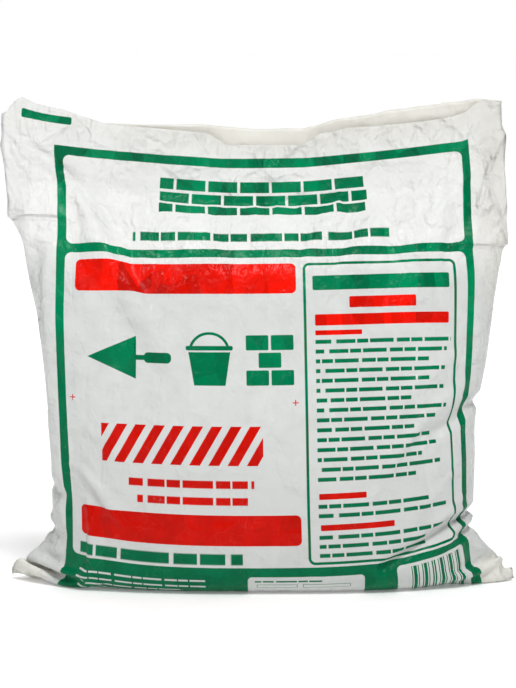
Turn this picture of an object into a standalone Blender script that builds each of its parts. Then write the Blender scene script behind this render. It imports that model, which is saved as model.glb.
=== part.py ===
"""A five kilogram bag of cement, standing up: a welded film bag and the powder that fills it.

Metres, +Z up. X runs along the bag's width, and the printed front looks towards -Y.
The origin is on the floor, under the middle of the bag.
"""

import math

import bmesh
import bpy

# Film bag, driving sizes
LAY_FLAT_WIDTH = 0.300
FILM_WALL = 0.0005
BASE_ROUNDING = 0.017
HEAD_LEAN = -0.0070
FRONT_LIP_SAG = 0.0260
BACK_LIP_SAG = 0.0175

# Powder, driving sizes
FILL_CLEARANCE = 0.0005
FILL_CROWN_HEIGHT = 0.218
FILL_CROWN_DROP = 0.028

# Corner ears, where the ends of the bottom weld stick out
EAR_ROOT_HALF_THICKNESS = 0.0150
EAR_TAPER = 1.5
EAR_WELD_WIDTH = 0.0035

# Points round a quarter of a section, closer together towards the side folds
QUARTER_STEPS = 11
SIDE_CROWDING = 1.55

HALF_FLAT = LAY_FLAT_WIDTH / 2

# Filled body and flat head, by height: left and right half width, front and back half depth, and how
# square the left and the right half of the section are
BODY_STATIONS = (
    (0.0170, 0.1240, 0.1235, 0.0515, 0.0500, 2.90, 2.90),
    (0.0340, 0.1250, 0.1240, 0.0548, 0.0525, 2.70, 2.60),
    (0.0760, 0.1258, 0.1248, 0.0556, 0.0530, 2.50, 2.35),
    (0.1050, 0.1278, 0.1256, 0.0526, 0.0505, 2.75, 2.30),
    (0.1290, 0.1300, 0.1308, 0.0480, 0.0462, 2.95, 2.20),
    (0.1480, 0.1322, 0.1334, 0.0434, 0.0418, 3.10, 2.20),
    (0.1670, 0.1346, 0.1360, 0.0388, 0.0372, 3.15, 2.30),
    (0.1860, 0.1380, 0.1388, 0.0322, 0.0308, 3.20, 2.40),
    (0.2000, 0.1406, 0.1420, 0.0250, 0.0240, 3.40, 2.50),
    (0.2080, 0.1440, 0.1436, 0.0196, 0.0188, 3.70, 2.70),
    (0.2150, 0.1466, 0.1452, 0.0146, 0.0140, 3.80, 2.80),
    (0.2230, 0.1480, 0.1462, 0.0088, 0.0084, 3.40, 2.70),
    (0.2320, 0.1484, 0.1472, 0.0046, 0.0044, 2.70, 2.40),
    (0.2480, 0.1480, 0.1480, 0.0030, 0.0030, 2.00, 2.00),
    (0.2860, 0.1475, 0.1452, 0.0021, 0.0021, 2.00, 2.00),
)

# Outline of an ear: height, and how far out the tip of the section is there
EAR_OUTLINE = (
    (0.0008, 0.1160),
    (0.0020, 0.1430),
    (0.0045, 0.1480),
    (0.0085, 0.1490),
    (0.0120, 0.1462),
    (0.0180, 0.1392),
    (0.0250, 0.1335),
    (0.0340, 0.1262),
    (0.0440, 0.1254),
)

# Heights of the rings of points that the skins are lofted through
FOOT_ANGLES_DEGREES = (0, 18, 32, 45, 58, 72, 90)
UPRIGHT_HEIGHTS = (
    0.0215, 0.0265, 0.0340, 0.0440, 0.0580, 0.0760, 0.0920, 0.1050, 0.1170, 0.1290, 0.1385, 0.1480,
    0.1575, 0.1670, 0.1765, 0.1860, 0.1930, 0.2000, 0.2075, 0.2150, 0.2225, 0.2300, 0.2390, 0.2480,
    0.2570, 0.2660, 0.2760, 0.2860,
)
LEAN_FROM_HEIGHT = 0.190
SAG_FROM_HEIGHT = 0.190
TOP_HEIGHT = UPRIGHT_HEIGHTS[-1]

FILM_COLOUR = (0.86, 0.87, 0.86, 1.0)
CEMENT_COLOUR = (0.46, 0.46, 0.45, 1.0)


def through(stations, column, height):
    """A smooth curve through one column of the stations, read at a height."""
    last = len(stations) - 1
    if height <= stations[0][0]:
        return stations[0][column]
    if height >= stations[last][0]:
        return stations[last][column]
    index = max(i for i in range(last) if stations[i][0] <= height)

    def slope(i):
        low, high = max(i - 1, 0), min(i + 1, last)
        return (stations[high][column] - stations[low][column]) / (stations[high][0] - stations[low][0])

    start, end = stations[index], stations[index + 1]
    span = end[0] - start[0]
    t = (height - start[0]) / span
    return (
        (1 + 2 * t) * (1 - t) ** 2 * start[column]
        + t * (1 - t) ** 2 * span * slope(index)
        + t * t * (3 - 2 * t) * end[column]
        - t * t * (1 - t) * span * slope(index + 1)
    )


def quarter_angles():
    """Angles from the side fold (0) up to just before the middle of the front (a quarter turn)."""
    return [math.pi / 2 * (step / QUARTER_STEPS) ** SIDE_CROWDING for step in range(QUARTER_STEPS)]


def section_angles():
    """Angles right round a section, crowded towards both side folds."""
    quarter = quarter_angles()
    angles = []
    for turn in range(2):
        start = math.pi * turn
        angles += [start + angle for angle in quarter]
        angles.append(start + math.pi / 2)
        angles += [start + math.pi - angle for angle in reversed(quarter[1:])]
    return angles


def rounded_foot(angle, inset):
    """Height of a ring on the rounded foot, and how far inside the wall it lies."""
    radius = BASE_ROUNDING - inset
    return BASE_ROUNDING - radius * math.cos(angle), BASE_ROUNDING - radius * math.sin(angle)


def ease(value, low, high):
    """Smooth step from 0 at low to 1 at high."""
    t = min(1.0, max(0.0, (value - low) / (high - low)))
    return t * t * (3 - 2 * t)


def section(height, body_height, draw_in, ear_reach, ear_half_thickness, depth_share=1.0):
    """One closed ring of points. draw_in is how far the ring lies inside the stated body all round."""
    left, right, front, back = (through(BODY_STATIONS, column, body_height) - draw_in for column in (1, 2, 3, 4))
    squareness = (through(BODY_STATIONS, 5, body_height), through(BODY_STATIONS, 6, body_height))
    lean = HEAD_LEAN * ease(height, LEAN_FROM_HEIGHT, TOP_HEIGHT)
    sagging = ease(height, SAG_FROM_HEIGHT, TOP_HEIGHT)
    points = []
    for angle in section_angles():
        across, deep = math.cos(angle), math.sin(angle)
        side = 1 if across > 0 else 0
        half_width = (left, right)[side]
        half_depth = (back if deep > 0 else front) * depth_share
        sag = (BACK_LIP_SAG if deep > 0 else FRONT_LIP_SAG) * sagging
        x = half_width * math.copysign(abs(across) ** (2 / squareness[side]), across)
        y = half_depth * math.copysign(abs(deep) ** (2 / squareness[side]), deep)
        reach = ear_reach[side]
        ear = max(0.0, 1 - abs(y) / ear_half_thickness) ** EAR_TAPER
        z = height - sag * (1 - (x / half_width) ** 2)
        points.append((x + math.copysign(reach * ear, across) + lean, y, z))
    return points


def ear_reach_at(height, draw_in, shortening):
    """How far the left and the right ear stick out past the body at this height."""
    if not EAR_OUTLINE[0][0] < height < EAR_OUTLINE[-1][0]:
        return 0.0, 0.0
    body_height = max(height, BODY_STATIONS[0][0])
    outline = through(EAR_OUTLINE, 1, height) - shortening + draw_in
    return tuple(max(0.0, outline - through(BODY_STATIONS, column, body_height)) for column in (1, 2))


def film_skin(inset):
    """The rings of one skin of the film, from the foot to the mouth. The inner skin is inset by the wall."""
    shortening = EAR_WELD_WIDTH * ease(inset, 0, FILM_WALL)
    thickness = EAR_ROOT_HALF_THICKNESS - inset
    rings = []
    for degrees in FOOT_ANGLES_DEGREES:
        height, draw_in = rounded_foot(math.radians(degrees), inset)
        reach = ear_reach_at(height, draw_in, shortening)
        rings.append(section(height, BASE_ROUNDING, draw_in, reach, thickness))
    for height in UPRIGHT_HEIGHTS:
        reach = ear_reach_at(height, inset, shortening)
        rings.append(section(height, height, inset, reach, thickness))
    return rings


def fill_skin(inset):
    """The rings of the powder's surface: the film's inside, closed by a low crown."""
    rings = []
    for degrees in FOOT_ANGLES_DEGREES:
        height, draw_in = rounded_foot(math.radians(degrees), inset)
        rings.append(section(height, BASE_ROUNDING, draw_in, (0.0, 0.0), 1.0))
    shoulder = FILL_CROWN_HEIGHT - FILL_CROWN_DROP
    for height in UPRIGHT_HEIGHTS:
        if height < shoulder:
            rings.append(section(height, height, inset, (0.0, 0.0), 1.0))
    for degrees in (15, 35, 55, 72):
        rise = math.sin(math.radians(degrees))
        shrink = 1 - math.cos(math.radians(degrees))
        height = shoulder + FILL_CROWN_DROP * rise
        draw_in = inset + 0.25 * shrink * HALF_FLAT
        rings.append(section(height, height, draw_in, (0.0, 0.0), 1.0, depth_share=1 - 0.5 * shrink))
    return rings


def loft(mesh, rings):
    """Skins a list of rings with quads, and returns the rings as vertices."""
    grid = [[mesh.verts.new(point) for point in ring] for ring in rings]
    count = len(rings[0])
    for low, high in zip(grid, grid[1:]):
        for i in range(count):
            j = (i + 1) % count
            mesh.faces.new((low[i], low[j], high[j], high[i]))
    return grid


def finish_object(name, mesh, material, collection):
    """Turns a bmesh into a shaded object of the bag's collection."""
    data = bpy.data.meshes.new(name)
    mesh.normal_update()
    mesh.to_mesh(data)
    mesh.free()
    data.materials.append(material)
    data.shade_smooth()
    data.set_sharp_from_angle(angle=math.radians(50))
    built = bpy.data.objects.new(name, data)
    collection.objects.link(built)
    return built


def surface(name, colour, roughness):
    """A Principled material in one colour."""
    material = bpy.data.materials.new(name)
    material.use_nodes = True
    shader = material.node_tree.nodes["Principled BSDF"]
    shader.inputs["Base Color"].default_value = colour
    shader.inputs["Roughness"].default_value = roughness
    shader.inputs["Metallic"].default_value = 0.0
    material.diffuse_color = colour
    return material


def film_bag(collection):
    """The film: one tube of blown film, welded across its foot, with its mouth pressed together at the top."""
    mesh = bmesh.new()
    outer = loft(mesh, film_skin(0.0))
    mesh.faces.new(list(reversed(outer[0])))
    inner_from = len(mesh.faces)
    inner = loft(mesh, film_skin(FILM_WALL))
    mesh.faces.new(list(reversed(inner[0])))
    mesh.faces.ensure_lookup_table()
    bmesh.ops.reverse_faces(mesh, faces=mesh.faces[inner_from:])
    lip_outer, lip_inner = outer[-1], inner[-1]
    for i in range(len(lip_outer)):
        j = (i + 1) % len(lip_outer)
        mesh.faces.new((lip_outer[i], lip_outer[j], lip_inner[j], lip_inner[i]))
    return finish_object("film_bag", mesh, surface("white_film", FILM_COLOUR, 0.35), collection)


def cement_fill(collection):
    """The powder, settled to the shape of the bag."""
    mesh = bmesh.new()
    grid = loft(mesh, fill_skin(FILM_WALL + FILL_CLEARANCE))
    mesh.faces.new(list(reversed(grid[0])))
    mesh.faces.new(grid[-1])
    return finish_object("cement_fill", mesh, surface("grey_cement", CEMENT_COLOUR, 0.95), collection)


def stand_over_origin(outermost, pieces):
    """Moves the pieces together, so that the outermost one's box is centred over the origin."""
    across = [vertex.co.x for vertex in outermost.data.vertices]
    deep = [vertex.co.y for vertex in outermost.data.vertices]
    for piece in pieces:
        piece.location.x = -(min(across) + max(across)) / 2
        piece.location.y = -(min(deep) + max(deep)) / 2


def main():
    for existing in list(bpy.data.objects):
        bpy.data.objects.remove(existing)
    collection = bpy.data.collections.new("cement_bag")
    bpy.context.scene.collection.children.link(collection)
    film = film_bag(collection)
    fill = cement_fill(collection)
    stand_over_origin(film, (film, fill))


main()
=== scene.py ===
"""Looks of a five kilogram cement bag: the creased, printed film, the powder in it, and a plain studio.

The film is relaxed as a flat welded tube that the powder fills out, so its folds come from its own
spare length. Film places are in metres on the flat tube, and in millimetres where a name or note says
so: s runs across a panel from its middle, and v runs up from the bottom weld.
"""

import math

import bpy
import numpy as np
from bpy.props import FloatProperty, FloatVectorProperty, IntProperty, PointerProperty
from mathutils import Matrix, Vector


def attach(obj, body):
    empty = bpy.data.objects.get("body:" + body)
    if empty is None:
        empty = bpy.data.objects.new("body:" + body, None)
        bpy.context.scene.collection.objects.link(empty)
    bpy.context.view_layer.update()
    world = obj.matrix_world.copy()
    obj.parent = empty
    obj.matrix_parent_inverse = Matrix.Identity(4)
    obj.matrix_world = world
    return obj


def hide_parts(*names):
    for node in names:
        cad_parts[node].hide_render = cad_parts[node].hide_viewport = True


bl_info = {
    "name": "Cement Bag Dresser",
    "version": (1, 0, 0),
    "blender": (4, 5, 0),
    "location": "View3D > Sidebar > Cement Bag",
    "description": "Builds the printed film, the powder and the studio of a small cement bag",
    "category": "Object",
}

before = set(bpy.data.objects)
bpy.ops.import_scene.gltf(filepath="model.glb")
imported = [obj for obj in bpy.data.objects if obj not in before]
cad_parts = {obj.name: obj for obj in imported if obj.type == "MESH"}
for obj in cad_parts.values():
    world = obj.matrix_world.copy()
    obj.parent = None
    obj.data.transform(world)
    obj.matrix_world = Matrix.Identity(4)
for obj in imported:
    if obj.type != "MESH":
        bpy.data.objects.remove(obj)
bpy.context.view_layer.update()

# Printed film tube, laid flat
PANEL_WIDTH = 0.300
FILM_LENGTH = 0.320
FIN_WIDTH = 0.0082

# Middle of the filled body, beside the middle of the whole bag's box
BODY_CENTRE_X = 0.0028
BODY_CENTRE_Y = 0.0013

# Powder's profile: height, left and right half width, front and back half depth, squareness left and right
POWDER_PROFILE = np.array((
    (0.0170, 0.1235, 0.1230, 0.0520, 0.0500, 2.70, 2.60),
    (0.0340, 0.1248, 0.1232, 0.0548, 0.0525, 2.55, 2.45),
    (0.0760, 0.1255, 0.1245, 0.0556, 0.0530, 2.45, 2.30),
    (0.0960, 0.1268, 0.1240, 0.0540, 0.0515, 2.55, 2.28),
    (0.1080, 0.1276, 0.1262, 0.0522, 0.0500, 2.65, 2.25),
    (0.1290, 0.1295, 0.1305, 0.0478, 0.0460, 2.80, 2.20),
    (0.1480, 0.1318, 0.1330, 0.0432, 0.0416, 2.95, 2.20),
    (0.1670, 0.1340, 0.1352, 0.0386, 0.0370, 3.00, 2.25),
    (0.1860, 0.1368, 0.1382, 0.0328, 0.0314, 2.80, 2.35),
    (0.2000, 0.1395, 0.1410, 0.0268, 0.0256, 2.50, 2.30),
    (0.2150, 0.1425, 0.1440, 0.0200, 0.0192, 2.20, 2.10),
    (0.2300, 0.1450, 0.1460, 0.0138, 0.0132, 2.00, 2.00),
))
POWDER_FOOT_ROUNDING = 0.017
POWDER_TOP = 0.222
POWDER_CROWN = 0.045

# Creases pressed into the filled sides: their route across the front view (x, z), depth and half width
CREASES = (
    (((0.1245, 0.1085), (0.1165, 0.1060), (0.1110, 0.1000), (0.0980, 0.0930)), 0.0038, 0.0055),
    (((0.1240, 0.0440), (0.1090, 0.0390), (0.0830, 0.0240), (0.0680, 0.0150)), 0.0050, 0.0042),
    (((0.1240, 0.0345), (0.1150, 0.0315)), 0.0040, 0.0035),
    (((-0.1240, 0.0590), (-0.1180, 0.0550)), 0.0018, 0.0040),
    (((-0.1240, 0.0330), (-0.1180, 0.0310)), 0.0018, 0.0040),
)
CREASES_END_BEHIND = 0.030

# Where the film is held: the weld, its two ears, the mouth's corners, and places read off the print and
# the mouth: v, then s, height and pull. An s past 0.150 runs on round the back
WELD_BEHIND_MIDDLE = 0.004
FIN_TIP_HEIGHT = 0.002
EAR_TIPS = ((-0.1475, 0.0100), (0.1480, 0.0070))
MOUTH_CORNERS = ((-0.1540, 0.2765), (0.1382, 0.2838))
HEAD_LEAN = -0.007
HEAD_LEAN_FROM = 0.190
HEAD_FLAT_FROM = 0.262
FILM_GUIDES = (
    (0.3190, (
        (-0.140, 0.2874, 0.25), (0.138, 0.2850, 0.25), (0.168, 0.2848, 0.15), (0.184, 0.2828, 0.12),
        (0.202, 0.2798, 0.12), (0.219, 0.2772, 0.12), (0.236, 0.2740, 0.12), (0.252, 0.2724, 0.12),
        (0.267, 0.2682, 0.12), (0.284, 0.2672, 0.12),
    )),
    (0.2990, ((-0.123, 0.2573, 0.25), (0.123, 0.2562, 0.25))),
    (0.2365, (
        (-0.123, 0.2016, 0.20), (-0.100, 0.1994, 0.12), (-0.080, 0.1974, 0.12), (-0.060, 0.1944, 0.12),
        (0.123, 0.1990, 0.25),
    )),
    (0.0565, ((-0.123, 0.0224, 0.20), (0.123, 0.0312, 0.20), (0.100, 0.0244, 0.20))),
)
FRAME_LINES = (
    (-0.1172, (
        (0.042, -0.1120), (0.055, -0.1122), (0.087, -0.1134), (0.1085, -0.1153), (0.144, -0.1168),
        (0.197, -0.1186), (0.225, -0.1180), (0.240, -0.1174), (0.262, -0.1176), (0.290, -0.1190),
    )),
    (0.1263, ((0.215, 0.1190), (0.237, 0.1185), (0.262, 0.1185), (0.290, 0.1187))),
)
FRAME_LINE_REACH = 0.014

# Outline of the left and the right side: height, then x. The sides are free between the two heights below
SIDE_GUIDES = (
    (
        (0.0120, -0.1476), (0.0168, -0.1405), (0.0215, -0.1308), (0.0263, -0.1293), (0.0310, -0.1270),
        (0.0358, -0.1246), (0.1990, -0.1402), (0.2060, -0.1425), (0.2105, -0.1455), (0.2138, -0.1472),
        (0.2150, -0.1488), (0.2290, -0.1502),
    ),
    (
        (0.0120, 0.1447), (0.0168, 0.1370), (0.0215, 0.1312), (0.0263, 0.1276), (0.0310, 0.1241),
        (0.0358, 0.1235), (0.1962, 0.1400), (0.2009, 0.1423), (0.2103, 0.1429), (0.2386, 0.1411),
        (0.2575, 0.1405), (0.2669, 0.1385),
    ),
)
SIDE_FREE = (0.036, 0.197)

# Share by which filling has drawn the film shorter at its two sides
SIDE_DRAW = 0.075

# While the film settles: the least gap between its panels, how near the powder a point has to be to be
# moved, the least half depth of the powder, how far a point moves at once into a crease or out of the powder,
# and what share of the way the weld, the corners, the sides, the frame's lines and the lips are drawn
PANEL_GAP = 0.0017
NEAR_POWDER = 1.35
LEAST_HALF_DEPTH = 0.0008
MOST_INTO_CREASE, MOST_OUT = -0.0015, 0.004
WELD_PULL, CORNER_PULL, HEIGHT_PULL = 0.2, 0.3, 0.5
SIDE_PULL, SIDE_EDGE_PULL, FRAME_PULL, LIP_PULL = 0.15, 0.3, 0.05, 0.04
SIDE_EDGE_FROM = 0.118

# Once it has settled: the panels' least gap, half the gap in the fin, and how far creases rise and sink
CREASED_PANEL_GAP = 0.0012
FIN_HALF_GAP = 0.0002
CREASES_RISE = (-0.0007, 0.0034)

# How far the mouth's edge lies below a straight cut: s, then the drop, for the front and for the back.
# The drop sets in at this v
MOUTH_DROP_FROM = 0.294
FRONT_MOUTH_DROP = (
    (-0.150, 0.009), (-0.1455, 0.0015), (-0.140, -0.0020), (-0.126, -0.0018), (-0.112, -0.0003), (-0.092, 0.0050),
    (-0.063, 0.0050), (-0.030, 0.0062), (-0.018, 0.0125), (0.030, 0.0130), (0.042, 0.0070), (0.060, 0.0050),
    (0.092, 0.0060), (0.128, 0.0060), (0.140, 0.003), (0.150, 0.001),
)
BACK_MOUTH_DROP = (
    (-0.150, 0.009), (-0.1455, 0.0015), (-0.140, -0.0020), (-0.116, -0.0006), (-0.092, 0.0065), (-0.063, 0.0065),
    (-0.034, 0.0060), (0.0, 0.0090), (0.025, 0.0090), (0.045, 0.0045), (0.080, 0.0), (0.138, -0.0010), (0.150, 0.001),
)

# Creases of handling on the front: their route over the flat film (s, v), height, half width
FRONT_CREASES = (
    (((0.150, 0.300), (0.141, 0.285), (0.134, 0.262), (0.131, 0.246)), 0.0026, 0.006),
    (((-0.149, 0.296), (-0.141, 0.280), (-0.137, 0.262), (-0.138, 0.245)), 0.0018, 0.006),
    (((-0.060, 0.302), (-0.044, 0.290), (-0.030, 0.284)), 0.0007, 0.005),
    (((0.020, 0.302), (0.030, 0.312), (0.046, 0.309)), 0.0012, 0.005),
    (((0.050, 0.268), (0.085, 0.276), (0.118, 0.292)), 0.0006, 0.006),
    (((0.062, 0.252), (0.092, 0.262), (0.121, 0.283)), 0.0006, 0.006),
    (((-0.108, 0.290), (-0.096, 0.272), (-0.098, 0.250)), 0.0005, 0.006),
    (((-0.128, 0.236), (-0.125, 0.190), (-0.128, 0.150)), 0.0006, 0.004),
    (((-0.134, 0.140), (-0.121, 0.120), (-0.124, 0.080)), 0.0005, 0.004),
    (((0.118, 0.232), (0.121, 0.200), (0.117, 0.170)), 0.0005, 0.004),
)

# Ledges at the foot of the head: their routes, how far they stand proud, and how far up that fades out
LEDGES = (((-0.152, 0.2569), (-0.122, 0.2549)), ((0.152, 0.2385), (0.122, 0.2370)))
LEDGE_HEIGHT = 0.0019
LEDGE_REACH = 0.011

# Small creases strewn all over the film
SMALL_CREASES = 260

# Sharp creases of the slack head, in millimetres on the film: start, end, half width, and how high or deep
SHARP_CREASES = (
    ((150, 300), (143, 288), 2.0, 1.5), ((143, 288), (138, 277), 1.8, 1.5), ((138, 277), (150, 241), 2.2, -1.5),
    ((138, 277), (133, 262), 1.8, 0.9), ((150, 262), (141, 247), 2.0, 1.2), ((131, 296), (121, 309), 2.4, 0.8),
    ((109, 317), (101, 301), 2.2, -0.7), ((62, 306), (49, 315), 2.0, 1.0), ((49, 315), (30, 309), 2.0, -0.8),
    ((30, 309), (16, 300), 2.4, 0.7), ((-30, 304), (-40, 318), 2.2, 0.9), ((-56, 294), (-37, 282), 2.4, 0.8),
    ((-70, 311), (-52, 303), 2.2, -0.8), ((-92, 318), (-80, 303), 2.0, 0.7), ((-144, 296), (-139, 284), 2.2, 0.9),
    ((-139, 284), (-137, 262), 2.4, -0.8), ((-150, 284), (-143, 266), 2.2, 0.8), ((-128, 300), (-112, 312), 2.2, 0.6),
    ((84, 262), (112, 283), 3.0, 0.5), ((60, 250), (92, 264), 2.8, -0.4), ((-96, 288), (-84, 262), 3.0, 0.5),
    ((-152, 256.9), (-120, 254.8), 1.3, -1.3), ((152, 238.5), (121, 237.0), 1.3, -1.3),
)
SHARP_CREASE_SHARE = 0.60

# The print, in millimetres on the film: bars are left, right, low, high and rounding, outlines have their width
# as well, and filler lines are left, right, top, rows, pitch, height, word length and seed
FRAME_SHEET = (-119.8, 128.7, -20.0, 299.9)
FRAME_PANELS = (
    (-114.6, 124.0, 239.7, 294.8, 4.0), (-114.6, 124.0, 56.6, 234.5, 4.0), (-8.0, 58.0, 12.0, 51.0, 2.5),
    (77.0, 122.5, 6.0, 52.2, 3.0),
)
FRAME_FILLERS = (-108.0, -16.0, 50.5, 8, 4.6, 1.3, 9.0, 2)
GREEN_BARS = ((32.0, 112.5, 214.0, 222.5, 1.0), (-139.0, -110.5, 312.5, 317.0, 1.0))
GREEN_OUTLINES = (
    (26.5, 117.0, 58.0, 230.5, 4.0, 1.6), (-3.0, 20.0, 42.6, 45.6, 0.4, 0.35), (23.0, 50.0, 42.6, 45.6, 0.4, 0.35),
)
GREEN_FILLERS = (
    (-72.0, 100.0, 254.0, 1, 12.0, 5.5, 14.0, 9), (33.0, 114.0, 187.0, 15, 5.55, 2.3, 11.0, 5),
    (33.0, 114.0, 94.0, 2, 5.3, 2.3, 12.0, 7), (33.0, 112.0, 76.5, 3, 5.3, 2.3, 12.0, 1),
    (-109.0, 30.0, 68.0, 1, 13.0, 6.5, 21.0, 4), (-4.0, 34.0, 49.4, 1, 3.0, 1.1, 9.0, 6),
)
RED_BARS = (
    (-108.0, 22.5, 212.5, 230.5, 3.0), (-108.0, 23.0, 69.5, 87.0, 3.0), (53.0, 92.0, 203.5, 210.0, 0.8),
    (33.0, 112.0, 193.5, 200.0, 0.8), (33.0, 60.0, 188.0, 190.8, 0.5), (33.5, 61.0, 95.2, 98.6, 0.5),
    (34.0, 77.0, 77.6, 81.0, 0.5),
)
RED_FILLERS = ((-76.0, 8.0, 108.5, 1, 8.4, 4.4, 13.0, 3), (-71.0, 3.0, 99.0, 1, 8.4, 4.4, 13.0, 8))
REGISTER_MARKS = ((-110.0, 151.0), (21.0, 150.0))
BLOCK_PLACES = ((-7.0, 160.0), (7.4, 160.0), (0.2, 170.0), (-7.0, 180.0), (7.4, 180.0))

# Broad facets that handling leaves in the film: their turn, fineness across and along, and height. Their cells also
# give each facet a painted shade
FACETS = ((0.55, 0.055, 0.018, 0.22), (-0.75, 0.080, 0.024, 0.16), (1.35, 0.110, 0.040, 0.09))

# Pressed ribs of the weld
RIB_SIZES = {
    "Rib width": 0.0009, "Rib length": 0.0050, "Rib height": 0.0004, "Unevenness": 0.25, "Seed": 4,
}

# Camera's place, from the photograph's framing
PHOTO_HEIGHT = 688
METRES_A_PIXEL = 0.000588
CAMERA_AIM = Vector((-0.0007, 0.0, 0.141))
LIGHT_AIM = Vector((0.0, 0.0, 0.15))
WHITE = (1.0, 1.0, 1.0, 1.0)


class BagSizes(bpy.types.PropertyGroup):
    wall: FloatProperty(
        name="Film wall", description="Thickness of the blown film", default=0.00015,
        unit="LENGTH", precision=5,
    )
    coarse_columns: IntProperty(
        name="Columns", description="Points round the film at the coarsest level, a multiple of four", default=72,
    )
    coarse_rows: IntProperty(
        name="Rows", description="Rows of film cells at the coarsest level", default=40,
    )
    rib_pitch: FloatProperty(
        name="Weld rib pitch", description="From one pressed rib of the bottom weld to the next", default=0.0018,
        unit="LENGTH", precision=4,
    )
    lip_gap: FloatProperty(
        name="Mouth gap", description="Half the gap between the lips at the open mouth", default=0.0025,
        unit="LENGTH", precision=4,
    )


class BagColours(bpy.types.PropertyGroup):
    film: FloatVectorProperty(
        name="Film", description="White pigmented film, with nothing behind it", default=(0.84, 0.845, 0.825),
        subtype="COLOR",
    )
    # Film over the powder: grey powder showing faintly through it, and painted shade against the brighter empty head
    film_powder_shaded: FloatVectorProperty(
        name="Film on powder", description="The same film, with grey powder showing faintly through it",
        default=(0.69, 0.705, 0.69), subtype="COLOR",
    )
    # Inner side: its warm beige tint is painted light passing through the film
    film_inside_light_tint: FloatVectorProperty(
        name="Film inside", description="Unprinted side of the film", default=(0.80, 0.785, 0.72), subtype="COLOR",
    )
    # Doubled slack film, its darker tint partly painted shade
    film_doubled_shaded: FloatVectorProperty(
        name="Film doubled", description="Where slack film lies doubled at the mouth and the head's two sides",
        default=(0.715, 0.70, 0.645), subtype="COLOR",
    )
    # Ear film: doubled film, its darker tint partly painted shade
    film_ear_shaded: FloatVectorProperty(
        name="Film ears", description="The doubled film at the weld's two ends, with no powder behind it",
        default=(0.73, 0.72, 0.665), subtype="COLOR",
    )
    green_ink: FloatVectorProperty(
        name="Green ink", description="Main printing colour", default=(0.0, 0.225, 0.090), subtype="COLOR",
    )
    red_ink: FloatVectorProperty(
        name="Red ink", description="Second printing colour", default=(0.90, 0.008, 0.002), subtype="COLOR",
    )
    # Inks lower down: partly powder behind the film, partly painted shade
    ink_powder_shaded: FloatProperty(
        name="Ink on powder", description="How bright the inks stay where dark powder backs the film", default=0.72,
        subtype="FACTOR", min=0.0, max=1.0,
    )
    cement: FloatVectorProperty(
        name="Cement", description="Dry powder", default=(0.30, 0.295, 0.285), subtype="COLOR",
    )


class StudioSettings(bpy.types.PropertyGroup):
    camera_distance: FloatProperty(
        name="Camera distance", description="From the camera to the bag's middle", default=1.8, unit="LENGTH",
    )
    camera_elevation: FloatProperty(
        name="Camera elevation", description="How far the camera looks down", default=math.radians(6),
        subtype="ANGLE",
    )
    key_strength: FloatProperty(
        name="Key light", description="Strength of the broad light from high in front", default=1.82,
    )
    box_power: FloatProperty(
        name="Soft box", description="Power of the box that gives the film its gloss", default=4.0, unit="POWER",
    )
    rear_power: FloatProperty(
        name="Rear box", description="Power of the broad box that lights the bag's back", default=14.0, unit="POWER",
    )
    surround: FloatProperty(
        name="Surround", description="Brightness of the white surround", default=1.0,
    )


def smooth(share):
    return share * share * (3 - 2 * share)


def risen(value, start, width):
    """0 up to a start, then evenly up to 1 over a width."""
    return np.clip((value - start) / width, 0, 1)


def eased(value, start, width):
    return smooth(risen(value, start, width))


def faded(distance, reach):
    """1 at no distance, and 0 at its reach."""
    return np.clip(1 - distance / reach, 0, 1)


def draw_to(grid, places, wanted, share):
    """Moves some of the grid's numbers a share of the way to where they are wanted."""
    grid[places] += (wanted - grid[places]) * share


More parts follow.
